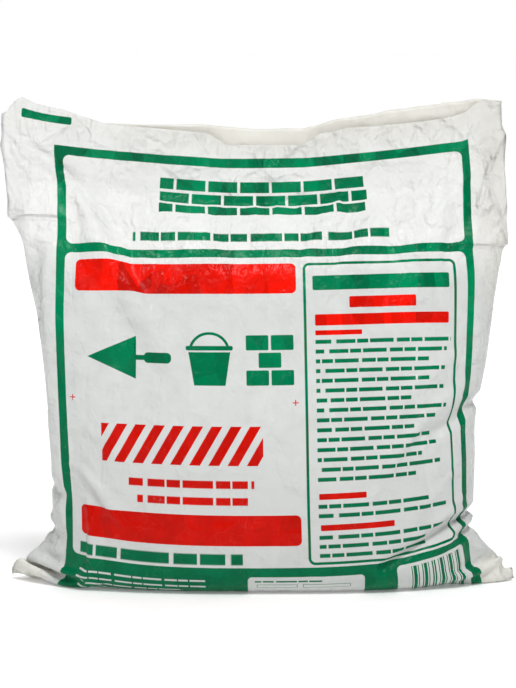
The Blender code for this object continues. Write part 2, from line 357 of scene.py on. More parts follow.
class FilmNet:
    """A net of points over the flat tube, with the distances that inextensible film keeps."""

    def __init__(self, around, up):
        self.around = around
        self.up = up
        self.half = around // 2
        self.cell = 2 * PANEL_WIDTH / around
        self.rise = (FILM_LENGTH + FIN_WIDTH) / up
        self.fin_rows = round(FIN_WIDTH / self.rise)
        self.v = np.arange(up + 1) * self.rise - FIN_WIDTH
        columns = np.arange(around)
        self.s = np.where(
            columns <= self.half,
            -PANEL_WIDTH / 2 + columns * self.cell,
            PANEL_WIDTH / 2 - (columns - self.half) * self.cell,
        )
        self.front = np.arange(1, self.half)
        self.back = (around - self.front) % around
        self.outwards = np.zeros(around)
        self.outwards[self.front] = -1
        self.outwards[self.back] = 1
        self.round_tube = np.where(self.outwards > 0, PANEL_WIDTH - self.s, self.s)
        front_drop, back_drop = (
            np.interp(self.s, *np.transpose(drop))
            for drop in (FRONT_MOUTH_DROP, BACK_MOUTH_DROP)
        )
        drop = np.where(self.outwards > 0, back_drop, front_drop)
        near_mouth = risen(self.v, MOUTH_DROP_FROM, FILM_LENGTH - MOUTH_DROP_FROM)
        self.film_v = self.v[None, :] - drop[:, None] * near_mouth[None, :]
        self.points = np.arange(around * (up + 1)).reshape(around, up + 1)
        self.links = self.linked()
        self.bends = self.braced()

    def linked(self):
        """The links, in batches whose points differ, so that one batch can be moved at once."""
        points, beside = self.points, np.roll(self.points, -1, axis=0)
        batches = []
        for odd in (0, 1):
            batches.append((points[odd::2], beside[odd::2], True, 1.0))
            batches.append((points[:, odd:-1:2], points[:, odd + 1::2], False, 1.0))
        for odd in (0, 1):
            batches.append((points[odd::2, :-1], beside[odd::2, 1:], True, 0.6))
            batches.append((points[odd::2, 1:], beside[odd::2, :-1], True, 0.6))
        v = self.film_v.ravel()
        spare_around, spare_up = (spare.ravel() for spare in spare_length(self))
        links = []
        for a, b, across, share in batches:
            a, b = a.ravel(), b.ravel()
            along = self.cell * (1 + (spare_around[a] + spare_around[b]) / 2) if across else 0.0
            upwards = (v[b] - v[a]) * (1 + (spare_up[a] + spare_up[b]) / 2)
            links.append((a, b, np.hypot(along, upwards), share))
        return links

    def braced(self):
        """Pairs of points two cells apart, which resist bending, in batches as the links are."""
        points, second = self.points, np.roll(self.points, -2, axis=0)
        span = np.full(points.shape, 2 * self.cell)
        for fold in (0, self.half):
            span[fold - 1] = np.where(self.v > HEAD_FLAT_FROM, 0.25 * self.cell, 0.0)
        columns, rows = np.arange(self.around), np.arange(self.up - 1)
        bends = []
        for first in (0, 1):
            pick = columns % 4 // 2 == first
            a, b, rest = points[pick].ravel(), second[pick].ravel(), span[pick].ravel()
            bends.append((a[rest > 0], b[rest > 0], rest[rest > 0]))
            pick = rows[rows % 4 // 2 == first]
            a, b = points[:, pick].ravel(), points[:, pick + 2].ravel()
            bends.append((a, b, np.full(len(a), 2 * self.rise)))
        return bends

    def flat(self):
        """The film as it comes off the reel: a flat tube, standing on its fin."""
        places = np.empty((self.around, self.up + 1, 3))
        edge = 1 - (np.abs(self.s) / (PANEL_WIDTH / 2)) ** 6
        places[..., 0] = self.s[:, None]
        places[..., 1] = (self.outwards * edge)[:, None] * 0.0015
        places[..., 2] = self.v[None, :] + FIN_WIDTH
        return places


def spare_length(net):
    """Where handling has left the film a little longer than it needs to be, round the tube and up it."""
    rng = np.random.default_rng(21)
    fields = []
    for _ in range(2):
        field = np.zeros((net.around, net.up + 1))
        for across, up, weight in ((24, 13, 0.6), (48, 26, 0.5)):
            knots = rng.normal(0, 1, (across, up))
            x = np.arange(net.around) / net.around * across
            y = np.arange(net.up + 1) / net.up * (up - 1.001)
            i, j = x.astype(int), y.astype(int)
            fx, fy = smooth(x - i)[:, None], smooth(y - j)[None, :]
            low, high = (knots[i][:, k] * (1 - fx) + knots[(i + 1) % across][:, k] * fx for k in (j, j + 1))
            field += weight * (low * (1 - fy) + high * fy)
        fields.append(np.clip(field, 0, 1.6))
    s, v = np.abs(net.s)[:, None], net.v[None, :]
    head, mouth, upright = eased(v, 0.235, 0.05), eased(v, 0.300, 0.015), eased(v, 0.015, 0.03)
    side = eased(s, 0.095, 0.04) * (1 - head)
    side *= 0.25 + 0.75 * eased(v, 0.140, 0.06)
    around = (0.003 + 0.009 * head + 0.014 * mouth + 0.005 * side) * upright
    up = (0.003 + 0.008 * head + 0.012 * side) * upright
    taut = eased(s, 0.100, 0.040) * eased(v, 0.030, 0.02)
    taut *= smooth(np.clip((0.225 - v) / 0.04, 0, 1))
    return fields[0] * around, fields[1] * up - SIDE_DRAW * taut


def crease_depth(x, z):
    """How deep the pressed creases are at a place in front view."""
    deepest = np.zeros_like(x)
    for route, depth, half_width in CREASES:
        nearest, _ = distance_to_route(x, z, route)
        start_x, start_z = route[0]
        round_side = np.sign(start_x) * (x - start_x) > 0
        nearest = np.where(round_side, np.abs(z - start_z), nearest)
        deepest = np.maximum(deepest, depth * faded(nearest, half_width))
    return deepest


def distance_to_route(x, y, route):
    """How far places are from a route, and on which side of it."""
    nearest, above = np.full(x.shape, 1.0), np.zeros(x.shape)
    for (x0, y0), (x1, y1) in zip(route, route[1:]):
        dx, dy = x1 - x0, y1 - y0
        along = np.clip(((x - x0) * dx + (y - y0) * dy) / (dx * dx + dy * dy), 0, 1)
        off_x, off_y = x - x0 - along * dx, y - y0 - along * dy
        distance = np.hypot(off_x, off_y)
        above = np.where(distance < nearest, np.sign(off_y), above)
        nearest = np.minimum(nearest, distance)
    return nearest, above


def foot_drawn_in(height):
    """How far the powder's rounded foot is drawn in at a height."""
    foot = POWDER_FOOT_ROUNDING
    return foot - np.sqrt(np.clip(foot ** 2 - np.clip(foot - height, 0, None) ** 2, 0, None))


def keep_outside_powder(places, depth_share, creased):
    """Moves film points out of the powder and off the floor, and into the pressed creases."""
    z = places[..., 2]
    height = np.clip(z, 0.0, None)
    drawn_in = foot_drawn_in(height)
    profile = [np.interp(height, POWDER_PROFILE[:, 0], POWDER_PROFILE[:, column]) for column in range(1, 7)]
    left, right, front, back, square_left, square_right = profile
    lean = HEAD_LEAN * risen(z, HEAD_LEAN_FROM, MOUTH_CORNERS[0][1] - HEAD_LEAN_FROM)
    x, y = places[..., 0] - lean, places[..., 1]
    half_width = np.where(x < 0, left, right) - drawn_in
    squareness = np.where(x < 0, square_left, square_right)
    crown = np.clip((POWDER_TOP - z) / POWDER_CROWN, 0, 1)
    half_depth = np.where(y < 0, front, back) * depth_share * np.sqrt(crown * (2 - crown))
    half_depth = np.maximum(half_depth - drawn_in * min(1.0, depth_share * 1.5), LEAST_HALF_DEPTH)

    shape = (np.abs(x) / half_width) ** squareness + (np.abs(y) / half_depth) ** squareness
    slope_x, slope_y = (
        squareness * np.sign(off) * (np.abs(off) / half) ** (squareness - 1) / half
        for off, half in ((x, half_width), (y, half_depth))
    )
    steepness = np.sqrt(slope_x ** 2 + slope_y ** 2 + 1e-9)
    inside_by = (1 - shape) / steepness
    near = (shape < NEAR_POWDER) & (height < POWDER_TOP) & (shape > 1e-6)
    dent = np.zeros_like(x)
    if creased:
        dent = crease_depth(x, z) * np.clip((CREASES_END_BEHIND - y) / 0.010, 0, 1)
    push = np.clip(inside_by - dent, 0, None)
    pull = np.where((dent > 0) & (inside_by < dent), (inside_by - dent) * 0.35, 0.0)
    drop = near & (inside_by > 0) & (z < inside_by) & (z < POWDER_FOOT_ROUNDING)
    move = np.where(near & ~drop, np.clip(push + pull, MOST_INTO_CREASE, MOST_OUT), 0.0) / steepness
    kept = places.copy()
    kept[..., 0] += slope_x * move
    kept[..., 1] += slope_y * move
    kept[..., 2] = np.where(drop, 0.0, height)
    return kept


class FilmHolds:
    """Gentle pulls that hold the film where the photograph shows its weld, ears, mouth and print."""

    def __init__(self, net, lip_gap):
        self.net = net
        self.top = net.v > FILM_LENGTH - 0.022
        fade = risen(net.v - FILM_LENGTH, -0.05, 0.05)
        wave = 0.0035 * np.sin(net.s / 0.05 + 0.6) + 0.002 * np.sin(net.s / 0.021 + 2.0)
        self.lip_y = (wave + net.outwards * lip_gap)[:, None] * fade[None, :]
        self.lip_pull = LIP_PULL * fade[None, :]
        self.guides = [
            self.guide(s, v, height, pull) for v, places in FILM_GUIDES for s, height, pull in places
        ]
        self.frame_lines = [self.frame_line(s, route) for s, route in FRAME_LINES]
        self.sides = [(column, np.array(guides)) for column, guides in zip((0, net.half), SIDE_GUIDES)]

    def guide(self, s, v, height, pull):
        """The points near one film place, their pulls and the heights they are drawn to."""
        net = self.net
        across = faded(np.abs(net.round_tube - s), max(net.cell * 1.1, 0.005))
        up = faded(np.abs(net.v - v), max(net.rise * 1.1, 0.004))
        weight = across[:, None] * up[None, :]
        columns, rows = np.nonzero(weight)
        return (columns, rows, 2), height + net.v[rows] - v, weight[columns, rows] * pull

    def frame_line(self, s, route):
        """The points beside an upright line of the print, where they are wanted and their pulls."""
        net, (low, _), (high, _) = self.net, route[0], route[-1]
        columns = np.nonzero(np.abs(net.s[:net.half + 1] - s) < FRAME_LINE_REACH)[0][:, None]
        rows = np.nonzero((net.v > low) & (net.v < high))[0][None, :]
        off, v = net.s[columns] - s, net.v[rows]
        fade = risen(v, low, 0.015) * np.clip((high - v) / 0.015, 0, 1)
        wanted = np.interp(v, *np.transpose(route)) + off
        return (columns, rows, 0), wanted, FRAME_PULL * fade * (1 - np.abs(off) / FRAME_LINE_REACH)

    def apply(self, grid):
        net, fin = self.net, self.net.fin_rows
        weld = 0.5 * (grid[net.front, :fin + 1] + grid[net.back, :fin + 1])
        draw_to(weld, (slice(None), fin, 1), WELD_BEHIND_MIDDLE, WELD_PULL)
        grid[net.front, :fin + 1] = weld
        grid[net.back, :fin + 1] = weld
        part_panels(net, grid, PANEL_GAP)
        for column, (x, z) in zip((0, net.half), MOUTH_CORNERS):
            draw_to(grid, (column, self.top, 0), x, CORNER_PULL)
            draw_to(grid, (column, -1, 2), z, HEIGHT_PULL)
            grid[column, self.top, 1] *= 0.8
        for column, (x, z) in zip((0, net.half), EAR_TIPS):
            draw_to(grid, (column, fin, 0), x, CORNER_PULL)
            draw_to(grid, (column, fin, 2), z, HEIGHT_PULL)
            draw_to(grid, (column, 0, 2), FIN_TIP_HEIGHT, HEIGHT_PULL)
        for places, wanted, pull in self.guides:
            draw_to(grid, places, wanted, pull)
        for column, guides in self.sides:
            self.hold_side(grid, column, guides)
        for places, wanted, pull in self.frame_lines:
            draw_to(grid, places, wanted, pull)
        draw_to(grid, (..., 1), self.lip_y, self.lip_pull)

    def hold_side(self, grid, column, guides):
        """Draws one side fold to the outline, and keeps the film beside it within the outline."""
        above = slice(self.net.fin_rows + 1, None)
        x, z = grid[column, above, 0], grid[column, above, 2]
        wanted = np.interp(z, guides[:, 0], guides[:, 1])
        held = (z > guides[0, 0]) & (z < guides[-1, 0]) & ((z < SIDE_FREE[0]) | (z > SIDE_FREE[1]))
        x += np.where(held, (wanted - x) * SIDE_PULL, 0.0)
        side = -1 if column == 0 else 1
        edge = np.nonzero(side * self.net.s > SIDE_EDGE_FROM)[0]
        x = grid[edge, above, 0]
        beyond = np.clip(side * (x - wanted), 0, None) * (held & (z > 0.1))
        grid[edge, above, 0] = x - side * beyond * SIDE_EDGE_PULL


def part_panels(net, grid, least):
    """Keeps the two panels at least this far apart above the weld."""
    above = slice(net.fin_rows + 1, None)
    gap = grid[net.back, above, 1] - grid[net.front, above, 1]
    lack = np.clip(least - gap, 0, None) / 2
    grid[net.back, above, 1] += lack
    grid[net.front, above, 1] -= lack


def relax(net, grid, holds, steps, passes, fill_from, bend, carry, creased):
    """Lets the film settle over the powder, which fills out from a share of its depth to all of it."""
    before = grid.copy()
    for step in range(steps):
        depth_share = fill_from + (1 - fill_from) * min(1.0, step / max(steps - 1, 1))
        moved = grid + (grid - before) * carry
        before = grid
        for _ in range(passes):
            points = moved.reshape(-1, 3)
            for a, b, rest, share in net.links:
                pull_together(points, a, b, rest, share)
            for a, b, rest in net.bends:
                pull_together(points, a, b, rest, bend)
            grid = points.reshape(grid.shape)
            holds.apply(grid)
            moved = keep_outside_powder(grid, depth_share, creased)
        grid = moved
    return grid


def pull_together(points, a, b, rest, share):
    """Moves both ends of each link towards its rest length."""
    start, end = points[a], points[b]
    apart = end - start
    length = np.sqrt(np.einsum("ij,ij->i", apart, apart)) + 1e-12
    change = apart * ((length - rest) / length * 0.5 * share)[:, None]
    points[a] = start + change
    points[b] = end - change


def between(before, low, high, after):
    """Points midway between neighbours, on the curve that they and the next two lie on."""
    return (9 * (low + high) - before - after) / 16


def twice_as_fine(grid, seed, unevenness):
    """Halves the net's cells, and adds a little unevenness for creases to start from."""
    around, rows, _ = grid.shape
    wide = np.empty((around * 2, rows, 3))
    wide[::2] = grid
    wide[1::2] = between(np.roll(grid, 1, 0), grid, np.roll(grid, -1, 0), np.roll(grid, -2, 0))
    tall = np.empty((around * 2, rows * 2 - 1, 3))
    tall[:, ::2] = wide
    halfway = 0.5 * (wide[:, :-1] + wide[:, 1:])
    halfway[:, 1:-1] = between(wide[:, :-3], wide[:, 1:-2], wide[:, 2:-1], wide[:, 3:])
    tall[:, 1::2] = halfway
    return tall + np.random.default_rng(seed).normal(0, unevenness, tall.shape)


def finest_net(sizes):
    """Points round the film and rows of cells up it, once its net is as fine as it gets."""
    halvings = 2
    return sizes.coarse_columns * 2 ** halvings, sizes.coarse_rows * 2 ** halvings


def settled_film(sizes):
    """The film's points, column by column round the tube and row by row up it."""
    around, up = sizes.coarse_columns, sizes.coarse_rows
    net = FilmNet(around, up)
    grid = net.flat() + np.random.default_rng(3).normal(0, 0.0004, (around, up + 1, 3))
    holds = FilmHolds(net, sizes.lip_gap)
    grid = relax(net, grid, holds, steps=160, passes=8, fill_from=0.03, bend=0.10, carry=0.7, creased=False)
    grid = relax(net, grid, holds, steps=80, passes=12, fill_from=1.0, bend=0.08, carry=0.7, creased=False)
    for seed, unevenness, steps, bend, carry in ((5, 0.0003, 50, 0.05, 0.6), (7, 0.00012, 20, 0.04, 0.5)):
        if (net.around, net.up) == finest_net(sizes):
            break
        net = FilmNet(net.around * 2, net.up * 2)
        grid = twice_as_fine(grid, seed, unevenness)
        holds = FilmHolds(net, sizes.lip_gap)
        grid = relax(net, grid, holds, steps, passes=12, fill_from=1.0, bend=bend, carry=carry, creased=True)
    return net, grid + np.array((BODY_CENTRE_X, BODY_CENTRE_Y, 0.0))


def unit_normal(across, up):
    normal = np.cross(across, up)
    return normal / (np.linalg.norm(normal, axis=2, keepdims=True) + 1e-12)


def press_creases(net, grid):
    """Raises the creases that handling left in the film, along the film's own normal."""
    s = net.round_tube[:, None] + np.zeros((1, net.up + 1))
    v = net.film_v
    raised = np.zeros(s.shape)
    for route, height, half_width in FRONT_CREASES:
        distance, _ = distance_to_route(s, v, route)
        raised += height * faded(distance, half_width) ** 1.4
    for route in LEDGES:
        distance, above = distance_to_route(s, v, route)
        raised += LEDGE_HEIGHT * np.where(above > 0, faded(distance, LEDGE_REACH), 0)
    rng = np.random.default_rng(12)
    head = eased(v, 0.215, 0.05)
    side = eased(np.abs(net.s)[:, None], 0.07, 0.06)
    liveliness = (0.45 + 1.1 * head - 0.15 * side * (1 - head)) * eased(v, 0.012, 0.02)
    for _ in range(SMALL_CREASES):
        middle_s, middle_v = rng.uniform(-0.150, 0.450), rng.uniform(0.015, 0.318)
        turn, length = rng.normal(math.pi / 2, 0.9), rng.uniform(0.007, 0.032)
        reach_s, reach_v = length * math.cos(turn), length * math.sin(turn)
        kink = rng.normal(0, 0.25) * length
        route = (
            (middle_s - reach_s, middle_v - reach_v),
            (middle_s + kink, middle_v),
            (middle_s + reach_s, middle_v + reach_v),
        )
        height, half_width = rng.choice((-1, 1)) * rng.uniform(0.00015, 0.00055), rng.uniform(0.0028, 0.0058)
        distance, _ = distance_to_route(s, v, route)
        raised += height * liveliness * faded(distance, half_width)
    normal = unit_normal(np.roll(grid, -1, 0) - np.roll(grid, 1, 0), np.gradient(grid, axis=1))
    grid += normal * np.clip(raised, *CREASES_RISE)[..., None]
    part_panels(net, grid, CREASED_PANEL_GAP)


def part_fin_layers(net, grid):
    """Sets the two film layers of the weld's fin a hair apart."""
    fin = net.fin_rows
    front = grid[:net.half + 1]
    across = np.gradient(front[:, :fin + 1], axis=0)
    up = np.gradient(front[:, :fin + 2], axis=1)[:, :fin + 1]
    apart = unit_normal(across, up)[1:-1] * FIN_HALF_GAP
    grid[net.front, :fin + 1] += apart
    grid[net.back, :fin + 1] -= apart
    grid[..., 2] = np.maximum(grid[..., 2], 0.0)


def placed(name, data):
    """A new object with this data, in the scene."""
    piece = bpy.data.objects.new(name, data)
    bpy.context.scene.collection.objects.link(piece)
    return piece


def mesh_piece(name, points, faces, material):
    """A smooth mesh object, with its place in its mesh."""
    data = bpy.data.meshes.new(name)
    data.from_pydata(points, [], faces)
    data.shade_smooth()
    data.materials.append(material)
    return placed(name, data)


def film_quads(net):
    points, beside = net.points, np.roll(net.points, -1, axis=0)
    return np.stack((points[:, :-1], beside[:, :-1], beside[:, 1:], points[:, 1:]), axis=-1).reshape(-1, 4)


def film_map(data, net):
    """A UV map that is the flat film: once round the tube across, and from fin to mouth up."""
    layer = data.uv_layers.new(name="flat film")
    column, row = np.divmod(np.arange(net.around * net.up), net.up)
    beside = (column + 1) % net.around
    across = np.stack((column, column + 1, column + 1, column), axis=-1) / net.around
    height = (net.film_v + FIN_WIDTH) / (FILM_LENGTH + FIN_WIDTH)
    up = np.stack((height[column, row], height[beside, row], height[beside, row + 1], height[column, row + 1]), axis=-1)
    layer.data.foreach_set("uv", np.stack((across, up), axis=-1).ravel())


def apply_modifiers(piece):
    """Leaves a plain mesh in place of the piece's modifiers."""
    evaluated = piece.evaluated_get(bpy.context.evaluated_depsgraph_get())
    finished = bpy.data.meshes.new_from_object(evaluated)
    piece.modifiers.clear()
    old = piece.data
    piece.data = finished
    bpy.data.meshes.remove(old)


class Term:
    """A number in a node tree: a sign between two of them lays the maths node of its kind."""

    def __init__(self, bench, socket):
        self.bench = bench
        self.socket = socket

    def __add__(self, other):
        return self.bench.math("ADD", self, other)

    def __sub__(self, other):
        return self.bench.math("SUBTRACT", self, other)

    def __rsub__(self, other):
        return self.bench.math("SUBTRACT", other, self)

    def __mul__(self, other):
        return self.bench.math("MULTIPLY", self, other)

    def __truediv__(self, other):
        return self.bench.math("DIVIDE", self, other)

    def __mod__(self, other):
        return self.bench.math("MODULO", self, other)

    def __abs__(self):
        return self.bench.math("ABSOLUTE", self)


class NodeBench:
    """Short ways to lay out a tree's nodes."""

    def __init__(self, tree):
        self.tree = tree

    def add(self, kind, fed=None, **settings):
        """A new node with these settings, and these numbers fed to its inputs."""
        node = self.tree.nodes.new(kind)
        for name, value in settings.items():
            setattr(node, name, value)
        return self.fill(node, fed or {})

    def fill(self, node, fed):
        for name, value in fed.items():
            value = getattr(value, "socket", value)
            if isinstance(value, bpy.types.NodeSocket):
                self.tree.links.new(value, node.inputs[name])
            else:
                node.inputs[name].default_value = value
        return node

    def read(self, node, output=0):
        return Term(self, node.outputs[output])

    def math(self, operation, *values, **settings):
        return self.read(self.add("ShaderNodeMath", dict(enumerate(values)), operation=operation, **settings))

    def ramp(self, value, low, high, to_low=0.0, to_high=1.0, kind="SMOOTHSTEP"):
        """Takes low to to_low and high to to_high, and nothing past them."""
        fed = dict(enumerate((value, low, high, to_low, to_high)))
        return self.read(self.add("ShaderNodeMapRange", fed, interpolation_type=kind))

    def mix(self, share, a, b, kind="MIX"):
        a, b = (colour if isinstance(colour, Term) else (*colour, 1.0) for colour in (a, b))
        return self.read(self.add("ShaderNodeMix", {0: share, 6: a, 7: b}, data_type="RGBA", blend_type=kind), 2)

    def noise(self, place, scale, detail=2.0, dimensions="2D"):
        fed = {"Vector": place, "Scale": scale, "Detail": detail}
        return self.add("ShaderNodeTexNoise", fed, noise_dimensions=dimensions)

    def cells(self, place, scale, feature="F1", dimensions="2D"):
        fed = {"Vector": place, "Scale": scale}
        return self.add("ShaderNodeTexVoronoi", fed, voronoi_dimensions=dimensions, feature=feature)

    def bump(self, height, strength, distance):
        return self.read(self.add("ShaderNodeBump", {"Height": height, "Strength": strength, "Distance": distance}))

    def object_place(self):
        return self.add("ShaderNodeTexCoord").outputs["Object"]

    def union(self, *shares):
        total = shares[0]
        for share in shares[1:]:
            total = self.math("MAXIMUM", total, share)
        return total

    def group(self, name, *values):
        return self.read(self.add("ShaderNodeGroup", dict(enumerate(values)), node_tree=shared_group(name)))

    def bar(self, x, y, left, right, low, high, rounding=0.0, edge=0.25):
        """1 inside a rounded bar, in millimetres."""
        return self.group("rounded bar", x, y, (left + right) / 2, (low + high) / 2,
                          (right - left) / 2, (high - low) / 2, rounding, edge)

    def outline(self, x, y, left, right, low, high, rounding, width):
        outer = self.bar(x, y, left, right, low, high, rounding)
        inner = self.bar(x, y, left + width, right - width, low + width, high - width, max(rounding - width, 0))
        return self.math("SUBTRACT", outer, inner, use_clamp=True)

    def filler_lines(self, x, y, left, right, top, rows, pitch, height, word, seed):
        """Rows of plain bars of uneven length."""
        down = (top - y) / pitch
        row, in_row = self.math("FLOOR", down), self.math("FRACT", down)
        half, soft = height / pitch / 2, 0.04
        ink_row = (self.ramp(in_row, 0.5 + half + soft, 0.5 + half - soft)
                   * self.ramp(in_row, 0.5 - half - soft, 0.5 - half + soft))
        place = self.add("ShaderNodeCombineXYZ", {0: row, 1: float(seed)}).outputs[0]
        drawn = self.read(self.add("ShaderNodeTexWhiteNoise", {"Vector": place}, noise_dimensions="2D"), "Value")
        line_end = right - drawn * ((right - left) * 0.32)
        in_line = self.ramp(x, line_end + 0.15, line_end - 0.15)
        along = (x + drawn * 40.0) / word
        in_word = self.math("FRACT", along + self.math("SINE", along * 2.3) * 0.24)
        gap = self.ramp(in_word, 0.10, 0.14)
        return self.bar(x, y, left, right, top - rows * pitch, top) * ink_row * in_line * gap


def rounded_bar(bench, x, y, centre_x, centre_y, half_width, half_height, rounding, edge):
    """1 inside a rounded bar, 0 outside it."""
    beyond = (abs(x - centre_x) - half_width + rounding, abs(y - centre_y) - half_height + rounding)
    out_x, out_y = (bench.math("MAXIMUM", value, 0.0) for value in beyond)
    corner = bench.math("SQRT", out_x * out_x + out_y * out_y)
    within = bench.math("MINIMUM", bench.math("MAXIMUM", *beyond), 0.0)
    half_edge = edge * 0.5
    return bench.ramp(corner + within - rounding, half_edge, half_edge * -1.0)


def straight_crease(bench, x, y, start_x, start_y, run_x, run_y, half_width):
    """1 on a straight crease, falling evenly to 0 at its half width on either side."""
    off_x, off_y = x - start_x, y - start_y
    along = bench.math("DIVIDE", off_x * run_x + off_y * run_y, run_x * run_x + run_y * run_y, use_clamp=True)
    gap_x, gap_y = off_x - along * run_x, off_y - along * run_y
    gap = bench.math("SQRT", gap_x * gap_x + gap_y * gap_y)
    return bench.ramp(gap, 0.0, half_width, 1.0, 0.0, "LINEAR")


SHARED_GROUPS = {
    "rounded bar": (rounded_bar, ("X", "Y", "Centre X", "Centre Y", "Half width", "Half height", "Rounding", "Edge")),
    "straight crease": (straight_crease, ("X", "Y", "Start X", "Start Y", "Run X", "Run Y", "Half width")),
}


def shared_group(name):
    """The node group of this name, laid when it is first asked for."""
    if name not in bpy.data.node_groups:
        rule, inputs = SHARED_GROUPS[name]
        group = bpy.data.node_groups.new(name, "ShaderNodeTree")
        for label, side in (*((label, "INPUT") for label in inputs), ("Share", "OUTPUT")):
            group.interface.new_socket(label, in_out=side, socket_type="NodeSocketFloat")
        bench = NodeBench(group)
        given = bench.add("NodeGroupInput")
        bench.add("NodeGroupOutput", {0: rule(bench, *(bench.read(given, label) for label in inputs))})
    return bpy.data.node_groups[name]


def green_print(bench, x, y):
    """Share of green ink: the frame, its panels, and plain generic figures."""
    panels = bench.union(*(bench.bar(x, y, *panel) for panel in FRAME_PANELS), bench.filler_lines(x, y, *FRAME_FILLERS))
    framed = bench.math("SUBTRACT", bench.bar(x, y, *FRAME_SHEET), panels, use_clamp=True)
    stripes = bench.math("FRACT", (x + bench.math("SINE", x * 1.9) * 0.5) / 2.1)
    return bench.union(
        framed,
        brick_courses(bench, x, y),
        tool_figures(bench, x, y),
        bench.ramp(stripes, 0.45, 0.55) * bench.bar(x, y, 83.5, 119.0, 16.0, 50.3),
        *(bench.bar(x, y, *bar) for bar in GREEN_BARS),
        *(bench.outline(x, y, *box) for box in GREEN_OUTLINES),
        *(bench.filler_lines(x, y, *lines) for lines in GREEN_FILLERS),
    )


def brick_courses(bench, x, y):
    """Three courses of running bond."""
    length, height, joint, low, rows = 19.0, 8.0, 1.7, 263.5, 3
    courses_up = (y - low) / height
    shift = bench.math("FLOOR", courses_up) % 2.0 * (length / 2)
    along, up = bench.math("FRACT", (x + 200.0 + shift) / length), bench.math("FRACT", courses_up)
    side, bed = joint / length / 2, joint / height / 2
    brick = bench.bar(along, up, side, 1 - side, bed, 1 - bed, 0.0, 0.02)
    return brick * bench.bar(x, y, -57.0, 66.5, low, low + rows * height)


def tool_figures(bench, x, y):
    """A trowel, a bucket and a stack of blocks, as plain figures."""
    blade = bench.ramp(abs(y - 175.0) - (x + 100.0) * 0.42, 0.15, -0.15)
    bucket = bench.ramp(abs(x + 28.0) - ((y - 160.0) * 0.16 + 9.0), 0.15, -0.15)
    bail = bench.outline(x, y, -40.0, -16.0, 167.0, 190.5, 11.8, 1.6)
    return bench.union(
        blade * bench.bar(x, y, -101.0, -71.0, 160.0, 190.0),
        bench.bar(x, y, -72.0, -65.0, 173.6, 176.4),
        bench.bar(x, y, -66.5, -50.0, 172.0, 178.0, 2.6),
        bucket * bench.bar(x, y, -44.0, -12.0, 160.0, 179.0),
        bail * bench.bar(x, y, -44.0, -12.0, 181.0, 192.0),
        bench.bar(x, y, -41.5, -14.5, 180.0, 182.6, 1.0),
        *(bench.bar(x, y, left, left + 13.0, low, low + 8.6, 0.8) for left, low in BLOCK_PLACES),
    )


def red_print(bench, x, y):
    """Share of red ink: two bands, slanted bars, short rules and register marks."""
    slanted = bench.math("FRACT", (x - y * 0.6) / 11.0 + 40.0)
    hatch = bench.ramp(slanted, 0.03, 0.05) * bench.ramp(slanted, 0.62, 0.60)
    return bench.union(
        hatch * bench.bar(x, y, -92.0, 2.0, 115.0, 137.0),
        *(bench.bar(x, y, *bar) for bar in RED_BARS),
        *(bench.filler_lines(x, y, *lines) for lines in RED_FILLERS),
        *(
            bench.bar(x, y, cx - wide, cx + wide, cy - tall, cy + tall)
            for cx, cy in REGISTER_MARKS
            for wide, tall in ((1.7, 0.3), (0.3, 1.7))
        ),
    )


def surface(name):
    """A new material, the bench for its nodes, and its shader."""
    material = bpy.data.materials.new(name)
    material.use_nodes = True
    return material, NodeBench(material.node_tree), material.node_tree.nodes["Principled BSDF"]


def dimmed(colour, share):
    return tuple(min(1.0, share * part) for part in colour)


